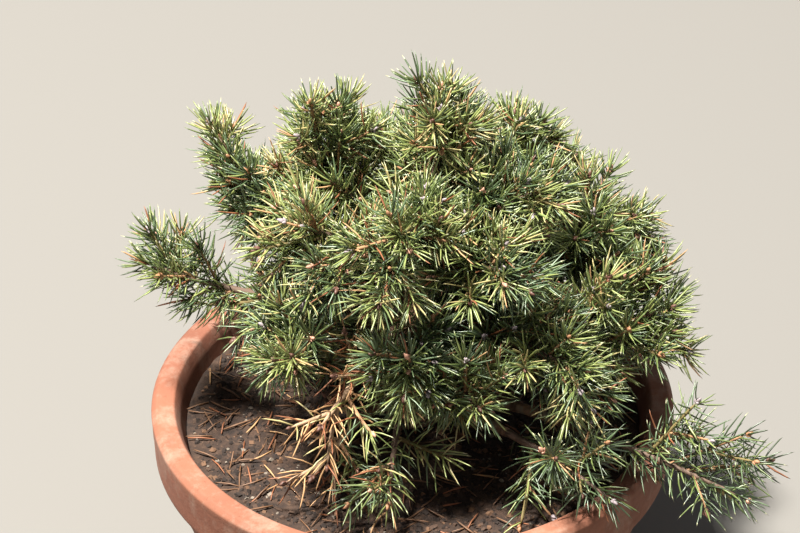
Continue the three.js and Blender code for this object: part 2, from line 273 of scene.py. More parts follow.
def planMasses():
    masses = []
    for tierName, tier in tiers.items():
        count = len(tier["boughs"])
        for i, (name, bearing, reach, height) in enumerate(tier["boughs"]):
            order = i * tier["step"] % count
            start = trunkLine.point(mix(*tier["leaves"], order / (count - 1)) / trunk["height"])
            angle = math.radians(bearing)
            tip = np.array([reach * math.cos(angle), reach * math.sin(angle), soilLevel + height])
            bend = mix(start, tip, bough["bendAt"])
            if "over" in tier:
                bend[2] = max(start[2], tip[2]) + tier["over"]
            else:
                bend[2] = mix(start[2], tip[2], tier["rise"])
            masses.append(Mass(
                f"{tierName}_{name}", tierName, tier["shoots"], angle, tier["radii"], bough["bare"],
                Curve(start, bend, tip)))
    start = trunkLine.tip
    tip = start + leader["pastTrunk"]
    bearing = math.atan2(trunk["lean"][1], trunk["lean"][0])
    masses.append(Mass(
        "leader", "upper", leader["shoots"], bearing, tiers["upper"]["radii"], 0,
        Curve(start, mix(start, tip, 0.5), tip)))
    return masses


class Space:  # the room that a mass may use
    def __init__(self, mass, masses):
        centres = np.array([other.centre for other in masses if other is not mass])
        normals = unit(centres - mass.centre)
        limits = (normals * (centres + mass.centre) / 2).sum(axis=1) - crown["cellMargin"]
        self.normals = np.vstack([normals, mass.outward])
        self.limits = np.append(limits, mass.outward @ mass.tip)

    def free(self, points, girth):
        inCell = points @ self.normals.T < self.limits
        return inCell.all() and overPot(points, crown["overSoil"]).all() and (
            offWood(points, girth + crown["offWood"]).all())


def underDome(points, mass, inside):  # side shoots trail behind the tip, so that it leads
    back = (mass.tip - points) @ mass.outward
    aside = np.linalg.norm(mass.tip - points - back[:, None] * mass.outward, axis=1)
    dome = crown["tipRound"].get(mass.name, crown["tipRound"][mass.tier])
    return back > inside + aside ** 2 / (2 * dome)


def overHollow(points, mass):  # where the crown's underside rises from the soil outward
    slope, drop = crown["underside"].get(mass.name, (0, 0))
    return points[:, 2] - soilLevel > slope * np.hypot(points[:, 0], points[:, 1]) - drop


def overPot(points, gap):
    outer = np.hypot(points[:, 0], points[:, 1]) > potTop.x - crown["rimWidth"]
    return points[:, 2] > np.where(outer, potTop.z, soilLevel) + gap


def offWood(points, gap):
    away = np.linalg.norm(points[:, None] - woodPoints, axis=2)
    return (away > woodRadii + gap).all(axis=1)


def woodAlong(masses):  # points down the middle of the trunk and each bough, with their radii
    points, radii = [], []
    shares = np.arange(0, 51) * 0.02
    points.append(trunkLine.point(shares))
    radii.append(trunkRadius(shares))
    for mass in masses[:-1]:
        bare = shares[shares <= mass.bare + 1e-9]
        points.append(mass.line.point(bare))
        radii.append(mix(mass.radii[0], mass.radii[1], bare / mass.bare))
    return np.concatenate(points), np.concatenate(radii)


class Shoot:
    def __init__(self, curve, level, radii, needledFrom, spray):
        self.curve, self.level, self.radii = curve, level, radii
        self.needledFrom, self.spray = needledFrom, spray
        self.start, self.end = 0.0, 1.0


def headingOf(tangent, side, over, roll, spread, lift):
    heading = tangent * math.cos(spread) + (
        side * math.cos(roll) + over * math.sin(roll)) * math.sin(spread)
    heading = heading + np.array([0, 0, lift])
    return unit(heading)


def sideShoots(mass, space, random):  # the shoots that the solids have too
    lines = []
    firstRoll = random() * math.pi * 2
    i = 0
    while i < mass.shoots * 4 and len(lines) < mass.shoots:
        share = i * spiral["step"] % 1
        t = mix(mass.bare, mass.end, mix(spiral["start"], spiral["end"], share))
        base = mass.line.point(t)
        tangent = mass.line.heading(t)
        side = np.array([-math.sin(mass.bearing), math.cos(mass.bearing), 0.0])
        side = unit(side - tangent * (side @ tangent))
        over = np.cross(tangent, side)
        roll = firstRoll + i * math.radians(spiral["turn"])
        spread = math.radians(mix(*spiral["spread"], share) + spiral["varies"] * (random() - 0.5))
        heading = headingOf(tangent, side, over, roll, spread, spiral["lift"])
        length = sideShoot["longest"] * mix(1, sideShoot["tipShare"], share)
        length *= 1 + sideShoot["varies"] * (random() - 0.5)
        tests = np.array([0.3, 0.5, 0.7, 0.85, 1.0])[:, None]
        while length > sideShoot["shortest"] and not (
                space.free(base + heading * length * tests, sideShoot["girth"])):
            length *= sideShoot["shrink"]
        tip = base + heading * length
        apart = all(np.linalg.norm(other[1] - tip) > sideShoot["apart"] for other in lines)
        if length > sideShoot["shortest"] and apart:
            lines.append((base, tip))
        i += 1
    return lines


masses = planMasses()
woodPoints, woodRadii = woodAlong(masses)


# Which sprays are dead, and the green of each living one

needleTones = dict(
    fresh=srgb(134, 144, 82), mid=srgb(97, 112, 59), bluish=srgb(84, 104, 70),
    deep=srgb(45, 62, 27), straw=srgb(176, 163, 110), pale=srgb(174, 174, 136),
    rust=srgb(132, 82, 52), tan=srgb(178, 140, 98), fallen=srgb(104, 74, 50),
)
toneNames = list(needleTones)
dryTones = ("rust", "tan", "fallen")
sprayTones = dict(  # how a spray's needles are shared out among the tones
    # sunny and shade are the living greens made lighter and darker: painted sunlight and painted
    # shade
    sunny=dict(fresh=0.44, mid=0.25, straw=0.17, bluish=0.08, tan=0.04, rust=0.02),
    green=dict(mid=0.43, fresh=0.28, bluish=0.15, deep=0.1, tan=0.02, rust=0.02),
    blue=dict(bluish=0.48, mid=0.28, deep=0.16, fresh=0.05, rust=0.03),
    shade=dict(deep=0.5, mid=0.24, bluish=0.22, tan=0.02, rust=0.02),
    dying=dict(straw=0.3, tan=0.3, rust=0.16, mid=0.24),
    dead=dict(tan=0.56, rust=0.32, straw=0.12),
)
deadShare = dict(
    skirt_front=0.45, skirt_front_left=0.6, skirt_left=0.3, middle_front_left_low=0.7,
    skirt_right=0, inside=0.1, outside=0.01,
)
deadKinds = dict(dead=0.55, dying=0.27, bare=0.18)
livingShare = dict(  # by tier, with painted light and shade: more sunny tones up high, mostly shade tones in the skirt; and for the needles inside the crown, darker for their age and as painted shade
    upper=dict(sunny=0.5, green=0.32, blue=0.12, shade=0.06),
    middle=dict(sunny=0.34, green=0.38, blue=0.18, shade=0.1),
    # the skirt's mostly shade tones are painted shade, where the crown above shades it
    skirt=dict(sunny=0.02, green=0.18, blue=0.26, shade=0.54),
    inside=dict(green=0.2, blue=0.25, shade=0.55),
)


def chooseSpray(mass, base, dice):
    middle = trunkLine.point(crown["middle"])
    deepness = np.linalg.norm(base - middle) / np.linalg.norm(mass.tip - middle)
    where = "inside" if deepness < crown["insideTo"] else "outside"
    if dice.random() < deadShare.get(mass.name, deadShare[where]):
        return dice.choice(list(deadKinds), p=list(deadKinds.values()))
    # sprays deep in the crown take the darker inside shares: older needles, and painted shade
    shares = livingShare["inside" if where == "inside" else mass.tier]
    return dice.choice(list(shares), p=list(shares.values()))


def bent(base, tip, dice):  # a shoot's line is never quite straight
    length = np.linalg.norm(tip - base)
    bend = (base + tip) / 2 + dice.normal(0, crooked["strays"], 3) * length
    bend[2] -= crooked["sags"] * length
    return Curve(base, bend, tip)


def growFiner(parent, plan, positions, spreads, longest, fits, tips, mass, dice):
    grown = []
    firstRoll = dice.random() * math.pi * 2
    for i, share in enumerate(positions):
        t = np.clip(share + dice.normal(0, plan["strays"]), *plan["within"])
        base = parent.curve.point(t)
        side, over = parent.curve.across(t)
        roll = firstRoll + i * math.radians(spiral["turn"])
        spread = math.radians(mix(*spreads, share) + dice.normal(0, plan["spreadVaries"]))
        heading = headingOf(parent.curve.heading(t), side, over, roll, spread, plan["lift"])
        length = longest * mix(1, plan["tipShare"], share)
        length *= 1 + plan["varies"] * (dice.random() - 0.5)
        tests = np.array([0.5, 0.8, 1.0])[:, None]
        inside = plan["insideTip"] + plan["uneven"] * dice.random()
        while length > plan["shortest"] and not fits(base + heading * length * tests, inside):
            length *= plan["shrink"]
        tip = base + heading * length
        near = min((np.linalg.norm(other - tip) for other in tips), default=math.inf)
        if length <= plan["shortest"] or near < plan["apart"]:
            continue
        tips.append(tip)
        same = parent.level and dice.random() < plan["sameSpray"]
        spray = parent.spray if same else chooseSpray(mass, base, dice)
        grown.append(Shoot(bent(base, tip, dice), 2, plan["radii"], plan["needledFrom"], spray))
    return grown


def growShoots(mass, index):
    space = Space(mass, masses)

    def inCell(points, inside):
        inRoom = underDome(points, mass, inside) & overHollow(points, mass)
        return inRoom.all() and space.free(points, finerShoot["girth"])

    def inCrown(points, inside):
        clear = offWood(points, innerShoot["girth"] + crown["offWood"])
        return clear.all() and overPot(points, crown["overSoil"] * inside / 2).all()

    dice = np.random.default_rng([crown["seed"], index])
    firstLines = sideShoots(mass, space, seeded(crown["seed"] + index))
    needledFrom = mix(mass.bare, mass.end, stemShoot["needledFrom"])
    stem = Shoot(mass.line, 0, (mass.radii[1], stemShoot["tipRadius"]), needledFrom, None)
    stem.start, stem.end = mass.bare, mass.end
    stem.spray = chooseSpray(mass, mass.centre, dice)
    first = []
    for base, tip in firstLines:
        spray = chooseSpray(mass, base, dice)
        first.append(Shoot(
            bent(base, tip, dice), 1, sideShoot["radii"], sideShoot["needledFrom"], spray))
    shares = np.linspace(1, sideShoot["least"], sideShoot["cuts"])
    for shoot in first:
        points = shoot.curve.point(shares)
        inRoom = underDome(points, mass, finerShoot["insideTip"]) & overHollow(points, mass)
        shoot.end = shares[np.argmax(inRoom)] if inRoom.any() else sideShoot["least"]
    grown = [stem, *first]
    tips = [shoot.curve.point(shoot.end) for shoot in first] + [mass.line.point(mass.end)]
    plan = lowShoot if mass.low else finerShoot
    for parent in first:
        length = parent.curve.length() * parent.end
        longest = min(plan["longest"], plan["ofParent"] * length)
        positions = np.array(plan["at"]) * parent.end
        grown += growFiner(
            parent, plan, positions, plan["spread"], longest, inCell, tips, mass, dice)
    stemLength = mass.line.length() * (mass.end - mass.bare)
    count = int(stemLength / plan["stemEvery"])
    positions = mix(mass.bare, mass.end, (np.arange(count) + plan["stemFrom"]) / count)
    longest = plan["longest"] * plan["stemLonger"]
    grown += growFiner(
        stem, plan, positions, plan["stemSpread"], longest, inCell, tips, mass, dice)
    if mass.low:
        return grown
    limb, positions = stem, np.array(innerShoot["at"]) * mass.bare
    if mass.name == "leader":
        limb, positions = Shoot(trunkLine, 0, (0, 0), 0, None), np.array(innerShoot["onTrunk"])
    grown += growFiner(
        limb, innerShoot, positions, innerShoot["spread"], innerShoot["longest"], inCrown, tips,
        mass, dice)
    return grown


shootsOf = {mass.name: growShoots(mass, i) for i, mass in enumerate(masses)}
everyShoot = [shoot for shoots in shootsOf.values() for shoot in shoots]
print("shoots:", len(everyShoot), "metres:", round(sum(
    shoot.curve.length() * (shoot.end - shoot.start) for shoot in everyShoot) / 1000, 2))


# Lofts: rings along a line, closed at the foot and drawn to a point at the tip

def loftMesh(name, centres, sides, overs, widths, heights, points, corners, tones, tipTones):
    count, rings = centres.shape[:2]
    turn = np.arange(corners) * 2 * np.pi / corners
    ring = (
        centres[:, :, None]
        + sides[:, :, None] * (widths[:, :, None] * np.cos(turn))[..., None]
        + overs[:, :, None] * (heights[:, :, None] * np.sin(turn))[..., None])
    places = np.concatenate([ring.reshape(count, rings * corners, 3), points[:, None]], axis=1) * mm
    faces = []
    for r in range(rings - 1):
        for k in range(corners):
            after = (k + 1) % corners
            foot, top = r * corners, (r + 1) * corners
            faces.append([foot + k, foot + after, top + after, top + k])
    last = (rings - 1) * corners
    faces += [[last + k, last + (k + 1) % corners, rings * corners] for k in range(corners)]
    faces.append(list(range(corners))[::-1])
    each = places.shape[1]
    pattern = np.concatenate([np.array(face) for face in faces])
    sizes = np.array([len(face) for face in faces])
    loops = (np.arange(count)[:, None] * each + pattern).ravel()
    starts = (np.arange(count)[:, None] * sizes.sum() + np.cumsum(sizes) - sizes).ravel()
    tone = np.repeat(tones[:, None], len(faces), axis=1)
    tone[:, -1 - corners:-1] = tipTones[:, None]
    mesh = bpy.data.meshes.new(name)
    mesh.vertices.add(count * each)
    mesh.vertices.foreach_set("co", places.astype(np.float32).ravel())
    mesh.loops.add(len(loops))
    mesh.loops.foreach_set("vertex_index", loops.astype(np.int32))
    mesh.polygons.add(len(starts))
    mesh.polygons.foreach_set("loop_start", starts.astype(np.int32))
    mesh.polygons.foreach_set("material_index", tone.astype(np.int32).ravel())
    mesh.update(calc_edges=True)
    return mesh


def place(mesh, materials, smooth=True, replaced=()):
    for material in materials:
        mesh.materials.append(material)
    mesh.polygons.foreach_set("use_smooth", [smooth] * len(mesh.polygons))
    piece = bpy.data.objects.new(mesh.name, mesh)
    bpy.context.scene.collection.objects.link(piece)
    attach(piece, "root")
    if replaced:
        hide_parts(*replaced)
    triangles = sum(len(face.vertices) - 2 for face in mesh.polygons)
    print(mesh.name, triangles, "triangles")
    return piece


# Needles

needle = dict(
    length=12.4, width=0.8, thickness=0.7, perMm=1.95, deadPerMm=0.9, lowPerMm=1.6,
    leans=((0, 0.4, 0.8, 1), (64, 57, 50, 34)), leanVaries=13,
    longAt=((0, 0.3, 0.75, 1), (0.74, 1, 1.02, 0.86)), longVaries=0.12,
    bow=0.05, lift=0.12, lowLift=-0.3, sunk=0.4, pastPlane=4.0, offWood=0.2, overPot=0.6,
    rollVaries=0.2, tuft=12, tuftLength=4, paleTips=0.22, seed=5,
)
needleRings = dict(
    at=(0, 0.42, 0.84), girth=(0.66, 1.0, 0.62), corners=4, girthVaries=0.08, turnVaries=0.5)


def needlesOn(shoot, mass, dice):
    dead, low = shoot.spray == "dead", mass.low
    length = shoot.curve.length() * (shoot.end - shoot.needledFrom)
    count = int(length * needle["deadPerMm" if dead else "lowPerMm" if low else "perMm"])
    t = mix(shoot.needledFrom, shoot.end, (np.arange(count) + dice.random(count)) / count)
    if not dead and not low:  # a closer ring of needles round the bud
        close = needle["tuftLength"] / shoot.curve.length()
        t = np.append(t, shoot.end - close * dice.random(needle["tuft"]))
        count += needle["tuft"]
    share = (t - shoot.start) / (shoot.end - shoot.start)
    roll = dice.random() * roughTurn + np.arange(count) * math.radians(spiral["turn"])
    roll = roll + dice.normal(0, needle["rollVaries"], count)
    axis = shoot.curve.heading(t)
    side, over = shoot.curve.across(t)
    outward = side * np.cos(roll)[:, None] + over * np.sin(roll)[:, None]
    lean = np.interp(share, *needle["leans"]) + dice.normal(0, needle["leanVaries"], count)
    lean = np.radians(lean)[:, None]
    direction = axis * np.cos(lean) + outward * np.sin(lean)
    direction[:, 2] += needle["lowLift" if dead or low else "lift"]
    direction = unit(direction)
    long = needle["length"] * np.interp(share, *needle["longAt"])
    long = long * (1 + dice.normal(0, needle["longVaries"], count))
    radius = mix(*shoot.radii, share)[:, None]
    root = shoot.curve.point(t) + outward * radius * needle["sunk"]
    bowed = unit(outward - direction * (outward * direction).sum(axis=1, keepdims=True))
    shares = sprayTones[shoot.spray]
    tones = dice.choice([toneNames.index(name) for name in shares], count, p=list(shares.values()))
    tip = root + direction * long[:, None]
    middle = (root + tip) / 2
    keep = tip @ mass.outward < mass.outward @ mass.tip + needle["pastPlane"]
    keep &= overPot(tip, needle["overPot"]) & overPot(middle, needle["overPot"])
    keep &= offWood(tip, needle["offWood"]) & offWood(middle, needle["offWood"])
    return [part[keep] for part in (root, direction, bowed, long, tones)]


def needleMesh(name, grown):
    root, direction, bowed, long, tones = (np.concatenate(parts) for parts in zip(*grown))
    dice = np.random.default_rng(len(root))
    at = np.array(needleRings["at"])
    along = long[:, None] * at
    bow = needle["bow"] * long[:, None] * 4 * at * (1 - at)
    centres = (
        root[:, None] + direction[:, None] * along[..., None] + bowed[:, None] * bow[..., None])
    thick = 1 + dice.normal(0, needleRings["girthVaries"], len(root))
    girth = np.array(needleRings["girth"]) * thick[:, None]
    side = unit(np.cross(bowed, direction))
    turned = dice.normal(0, needleRings["turnVaries"], len(root))[:, None]
    over = np.cross(direction, side)
    side, over = (
        side * np.cos(turned) + over * np.sin(turned),
        over * np.cos(turned) - side * np.sin(turned))
    tip = root + direction * long[:, None]
    brown = np.isin(tones, [toneNames.index(tone) for tone in dryTones])
    pale = dice.random(len(root)) < needle["paleTips"]
    tipTones = np.where(pale & ~brown, toneNames.index("pale"), tones)
    return loftMesh(
        name, centres, side[:, None], over[:, None], girth * needle["width"] / 2,
        girth * needle["thickness"] / 2, tip, needleRings["corners"], tones, tipTones)


def toneMaterial(name, colour, roughness, coat=0.0):
    return NodeSheet(name).finish(
        Base_Color=colour, Roughness=roughness, Coat_Weight=coat, Coat_Roughness=0.42)


def needleMaterial(name, colour):
    roughness, coat = (0.6, 0.1) if name in dryTones else (0.42, 1.0)
    return toneMaterial(f"needle_{name}", colour, roughness, coat)


needleMaterials = [needleMaterial(name, colour) for name, colour in needleTones.items()]


def pieceFor(mass):  # the needles, twigs and buds of one side of a tier are one piece each
    if mass.tier == "skirt":
        return "skirt"
    part = "Front" if mass.tip[1] < 0 else "Back"
    if mass.tier == "middle":
        part += "Left" if mass.tip[0] < 0 else "Right"
    return mass.tier + part


pieceOf = {}
for mass in masses:
    pieceOf.setdefault(pieceFor(mass), []).append(mass)
for pieceName, members in pieceOf.items():
    dice = np.random.default_rng([crown["seed"], len(members), needle["seed"]])
    grown = [
        needlesOn(shoot, mass, dice) for mass in members for shoot in shootsOf[mass.name]
        if shoot.spray != "bare"]
    mesh = needleMesh(f"{pieceName}Needles", grown)
    place(mesh, needleMaterials, True, [f"{mass.name}_foliage" for mass in members])


# Twigs

twig = dict(rings=7, corners=6, olive=0.5, roughness=0.75)
twigTones = dict(
    old=srgb(98, 78, 64), young=srgb(156, 118, 84), olive=srgb(112, 98, 58),
    dead=srgb(164, 136, 108),
)
twigNames = list(twigTones)
twigMaterials = [
    toneMaterial(f"twig_{name}", colour, twig["roughness"]) for name, colour in twigTones.items()]


def twigTone(shoot, dice):
    if shoot.spray in ("dead", "bare"):
        return "dead"
    if shoot.level == 0:
        return "old"
    return "olive" if dice.random() < twig["olive"] else "young"


def twigMesh(name, shoots):
    dice = np.random.default_rng(len(shoots))
    share = np.linspace(0, 1, twig["rings"] + 1)[:-1]
    centres, sides, overs, radii, tips, tones = [], [], [], [], [], []
    for shoot in shoots:
        t = mix(shoot.start, shoot.end, share)
        side, over = shoot.curve.across(t)
        centres.append(shoot.curve.point(t))
        sides.append(side)
        overs.append(over)
        radii.append(mix(*shoot.radii, share))
        tips.append(shoot.curve.point(shoot.end))
        tones.append(twigNames.index(twigTone(shoot, dice)))
    radii = np.array(radii)
    tones = np.array(tones)
    return loftMesh(
        name, np.array(centres), np.array(sides), np.array(overs), radii, radii, np.array(tips),
        twig["corners"], tones, tones)


for pieceName, members in pieceOf.items():
    shoots = [shoot for mass in members for shoot in shootsOf[mass.name]]
    place(twigMesh(f"{pieceName}Twigs", shoots), twigMaterials)


# Buds

bud = dict(
    length=3.0, width=1.9, at=(0.08, 0.4, 0.76), girth=(0.66, 1.0, 0.52), corners=6, varies=0.1,
    sunk=0.5, roughness=0.55, shares=(0.24, 0.24, 0.28, 0.24), seed=9,
)
sideBud = dict(most=4, apart=1.9, ahead=0.75, aside=0.66, size=0.72, sunk=1.1)
budTones = dict(
    pink=srgb(180, 134, 112), tan=srgb(152, 110, 78), dark=srgb(92, 62, 50),
    waxy=srgb(148, 136, 138),
)
budMaterials = [
    toneMaterial(f"bud_{name}", colour, bud["roughness"]) for name, colour in budTones.items()]


def budMesh(name, shoots, dice):
    roots, headings, sizes, owners = [], [], [], []
    for owner, shoot in enumerate(shoots):
        tip = shoot.curve.point(shoot.end)
        heading = shoot.curve.heading(shoot.end)
        side, over = shoot.curve.across(shoot.end)
        size = dice.normal(1, bud["varies"])
        roots.append(tip - heading * bud["sunk"])
        headings.append(heading)
        sizes.append(size)
        owners.append(owner)
        firstRoll = dice.random() * roughTurn
        for k in range(dice.integers(1, sideBud["most"] + 1)):
            roll = firstRoll + k * sideBud["apart"]
            outward = side * math.cos(roll) + over * math.sin(roll)
            roots.append(tip - heading * sideBud["sunk"])
            headings.append(unit(heading * sideBud["ahead"] + outward * sideBud["aside"]))
            sizes.append(size * sideBud["size"])
            owners.append(owner)
    roots, headings, sizes = np.array(roots), np.array(headings), np.array(sizes)[:, None]
    at = np.array(bud["at"])
    centres = roots[:, None] + headings[:, None] * (sizes * bud["length"] * at)[..., None]
    side = unit(np.cross(headings, [0.31, 0.2, 0.93]))  # a way that no bud points
    over = np.cross(headings, side)
    girth = sizes * bud["width"] / 2 * np.array(bud["girth"])
    dry = np.array([shoot.spray in ("dead", "bare") for shoot in shoots])
    living = dice.choice(len(budTones), len(shoots), p=bud["shares"])
    tones = np.where(dry, list(budTones).index("dark"), living)[owners]
    return loftMesh(
        name, centres, side[:, None], over[:, None], girth, girth,
        roots + headings * sizes * bud["length"], bud["corners"], tones, tones)


for pieceName, members in pieceOf.items():
    dice = np.random.default_rng([crown["seed"], len(members), bud["seed"]])
    shoots = [shoot for mass in members for shoot in shootsOf[mass.name]]
    place(budMesh(f"{pieceName}Buds", shoots, dice), budMaterials)


# Trunk and boughs, with the relief of the bark

bark = dict(
    flake=0.5, flakeSize=3.2, flakeLength=0.45, fineFlake=0.5, finer=2.3, ridge=0.28,
    ridgeAround=0.9, ridgeAlong=0.16, pegs=0.3, pegSpirals=((5, 1.6), (3, -1.9)), fullFrom=4,
    trunkSides=40, trunkRings=120, boughSides=16, boughRings=54, intoMass=0.01, intoSoil=1,
)


def barkRelief(along, turn, radius, pegged):
    x, y = math.cos(turn) * radius, math.sin(turn) * radius
    around = Vector((x, y, along * bark["flakeLength"]))
    flakes = noise.noise(around / bark["flakeSize"])
    flakes += bark["fineFlake"] * noise.noise(around / bark["flakeSize"] * bark["finer"])
    across = bark["ridgeAround"]
    ridges = 1 - abs(noise.noise(Vector((
        around.x * across, around.y * across, along * bark["ridgeAlong"]))))
    relief = (bark["flake"] * flakes + bark["ridge"] * ridges) * min(1.0, radius / bark["fullFrom"])
    if pegged:  # where old needles stood, in two crossing spirals
        pegs = math.prod(
            math.cos(turn * turns + along * rise) for turns, rise in bark["pegSpirals"])
        relief += bark["pegs"] * max(0.0, pegs) ** 2
    return relief


def growLimb(name, line, start, end, radiusAt, sides, rings, pegged):
    bm = bmesh.new()
    bmesh.ops.create_cone(bm, cap_ends=True, segments=sides, radius1=1, radius2=1, depth=1)
    upright = [edge for edge in bm.edges if abs(edge.verts[0].co.z - edge.verts[1].co.z) > 0.5]
    bmesh.ops.subdivide_edges(bm, edges=upright, cuts=rings)
    length = line.length()
    for vert in bm.verts:
        share = vert.co.z + 0.5
        turn = math.atan2(vert.co.y, vert.co.x)
        t = mix(start, end, share)
        side, over = line.across(t)
        radius = float(radiusAt(share))
        radius += barkRelief(t * length, turn, radius, pegged)
        spot = line.point(t) + (side * math.cos(turn) + over * math.sin(turn)) * radius
        spot[2] = max(spot[2], soilLevel - bark["intoSoil"])
        vert.co = Vector(spot) * mm
    bmesh.ops.recalc_face_normals(bm, faces=bm.faces)
    return meshFrom(bm, name)


def barkMaterial(name, light, dark, scale):
    sheet = NodeSheet(name)
    patches = sheet.noise(220 * scale, 5, 0.6, (1, 1, 0.4))
    fine = sheet.noise(900 * scale, 3, 0.6)
    colour = sheet.blend(sheet.between(patches, 0.36, 0.62), dark, light)
    lichen = sheet.between(sheet.noise(95 * scale, 4), 0.58, 0.7, (0.0, 0.5))
    colour = sheet.blend(lichen, colour, srgb(150, 146, 128))
    return sheet.finish(
        Base_Color=colour, Roughness=sheet.between(fine, 0.2, 0.8, (0.72, 0.95)),
        Normal=sheet.bump(patches * 0.6 + fine * 0.4, 0.6, 0.0006))


trunkBark = barkMaterial("bark_trunk", srgb(128, 104, 84), srgb(66, 50, 40), 1.0)
boughBark = barkMaterial("bark_bough", srgb(142, 112, 86), srgb(78, 58, 44), 1.4)

trunkMesh = growLimb(
    "trunkBark", trunkLine, 0, 1, trunkRadius, bark["trunkSides"], bark["trunkRings"], False)
place(trunkMesh, [trunkBark], True, ["trunk"])
for mass in masses[:-1]:
    limb = growLimb(
        f"{mass.name}BoughBark", mass.line, 0, mass.bare + bark["intoMass"],
        lambda share: mix(mass.radii[0], mass.radii[1], share), bark["boughSides"],
        bark["boughRings"], True)
    place(limb, [boughBark], True, [f"{mass.name}_bough"])


# Pot: one spun wall with a collar, and drain holes

pot = dict(
    footRadius=76, wall=7, floor=9, collarHeight=22, collarProud=4, collarSlope=1, rounding=2,
    lip=2, steps=144, longest=2.6, drains=3, drainRadius=6, drainSides=24, drainFromAxis=40,
    firstDrain=30, corner=0.7, sharperThan=0.3,
)
thrown = dict(  # how far the wheel and the fire left the wall from true
    wobble=0.35, wobbleTurns=1.3, wobbleRise=0.012, rings=0.16, ringTurns=0.25, ringRise=0.55,
    ringsFrom=4, rim=0.2, rimTurns=2.1, rimDepth=6, rimDrop=0.1, middle=20,
)


def potOutline():
    rim, height = potTop.x, potTop.z
    under = height - pot["collarHeight"]
    mouth = rim - pot["wall"] - pot["lip"]
    rounding = pot["rounding"]

    def bodyAt(z):
        return mix(pot["footRadius"], rim - pot["collarProud"], z / under)

    outer = [
        (0, 0), (pot["footRadius"] - rounding, 0), (pot["footRadius"], rounding),
        (bodyAt(under), under), (rim - pot["collarSlope"], under + pot["collarSlope"]),
        (rim, height - rounding), (rim - rounding, height)]
    inner = [
        (mouth, height), (mouth - pot["lip"], height - rounding - pot["lip"]),
        (bodyAt(pot["floor"]) - pot["wall"], pot["floor"]), (0, pot["floor"])]
    return outer, inner


def spinOutline(outline, steps, longest):
    bm = bmesh.new()
    spots = [bm.verts.new((radius * mm, 0, z * mm)) for radius, z in outline]
    edges = [bm.edges.new(pair) for pair in zip(spots, spots[1:])]
    for edge in edges:
        cuts = int(edge.calc_length() / mm / longest)
        if cuts:
            bmesh.ops.subdivide_edges(bm, edges=[edge], cuts=cuts)
    bmesh.ops.spin(
        bm, geom=bm.verts[:] + bm.edges[:], axis=(0, 0, 1), cent=(0, 0, 0), angle=math.tau,
        steps=steps, use_merge=True)
    bmesh.ops.remove_doubles(bm, verts=bm.verts, dist=1e-6)
    bmesh.ops.recalc_face_normals(bm, faces=bm.faces)
    return bm


def makePot():
    outer, inner = potOutline()
    bm = spinOutline(outer + inner, pot["steps"], pot["longest"])
    corners = [edge for edge in bm.edges if (
        abs(edge.verts[0].co.z - edge.verts[1].co.z) < 1e-6 and len(edge.link_faces) == 2
        and edge.calc_face_angle(0) > pot["sharperThan"])]
    bmesh.ops.bevel(
        bm, geom=corners, offset=pot["corner"] * mm, affect="EDGES", segments=3, profile=0.5,
        material=-1)
    for vert in bm.verts:
        x, y, z = vert.co / mm
        radius = math.hypot(x, y)
        if radius < thrown["middle"]:
            continue
        turn = Vector((x / radius, y / radius, 0))
        rise = Vector((0, 0, z * thrown["wobbleRise"]))
        out = thrown["wobble"] * noise.noise(turn * thrown["wobbleTurns"] + rise)
        if z > thrown["ringsFrom"]:
            out += thrown["rings"] * noise.noise(Vector((
                7.0, turn.x * thrown["ringTurns"], z * thrown["ringRise"])))
        vert.co += turn * out * mm
        if z > potTop.z - thrown["rimDepth"]:
            waves = thrown["rim"] * noise.noise(turn * thrown["rimTurns"])
            vert.co.z += waves * mm - thrown["rimDrop"] * mm
    return meshFrom(bm, "clayPot")


def drill(piece):  # the drain holes
    bm = bmesh.new()
    for i in range(pot["drains"]):
        bearing = math.radians(360 / pot["drains"] * i + pot["firstDrain"])
        made = bmesh.ops.create_cone(
            bm, cap_ends=True, segments=pot["drainSides"], radius1=pot["drainRadius"] * mm,
            radius2=pot["drainRadius"] * mm, depth=pot["floor"] * 3 * mm)
        spot = Vector((math.cos(bearing), math.sin(bearing), 0)) * pot["drainFromAxis"] * mm
        bmesh.ops.translate(bm, verts=made["verts"], vec=spot)
    cutter = bpy.data.objects.new("drill", meshFrom(bm, "drill"))
    bpy.context.scene.collection.objects.link(cutter)
    cut = piece.modifiers.new("drains", "BOOLEAN")
    cut.operation = "DIFFERENCE"
    cut.object = cutter
    cut.solver = "EXACT"
    bpy.context.view_layer.update()
    drilled = piece.evaluated_get(bpy.context.evaluated_depsgraph_get())
    made = bpy.data.meshes.new_from_object(drilled)
    piece.modifiers.clear()
    bpy.data.objects.remove(cutter)
    piece.data = made
    made.name = piece.name


def clayMaterial():
    sheet = NodeSheet("fired_clay")
    broad = sheet.noise(14, 4, 0.55)
    fine = sheet.noise(420, 5, 0.7)
    bands = sheet.noise(60, 3, 0.5, (0.15, 0.15, 3.0))
    body = sheet.blend(sheet.between(broad, 0.3, 0.7), srgb(112, 66, 48), srgb(136, 84, 62))
    body = sheet.blend(sheet.between(bands, 0.42, 0.62, (0.0, 0.4)), body, srgb(148, 98, 74))
    damp = sheet.between(sheet.noise(34, 5, 0.6, (1, 1, 0.3)), 0.5, 0.66, (0.0, 0.4))
    body = sheet.blend(damp, body, srgb(92, 58, 44))
    bloom = sheet.between(sheet.noise(44, 8, 0.78, (1, 1, 0.6)), 0.5, 0.68, (0.0, 0.45))
    colour = sheet.blend(bloom, body, srgb(160, 142, 126))
    specks = sheet.between(fine, 0.6, 0.72, (0.0, 0.45))
    colour = sheet.blend(specks, colour, srgb(84, 50, 38))
    return sheet.finish(
        Base_Color=colour, Roughness=sheet.between(fine, 0.2, 0.8, (0.72, 0.95)),
        Normal=sheet.bump(fine * 0.6 + bands * 0.4, 0.5, 0.0006))


potPiece = place(makePot(), [clayMaterial()], True, ["pot"])
drill(potPiece)


# Compost, with its crumbs, grit, chips and fallen needles

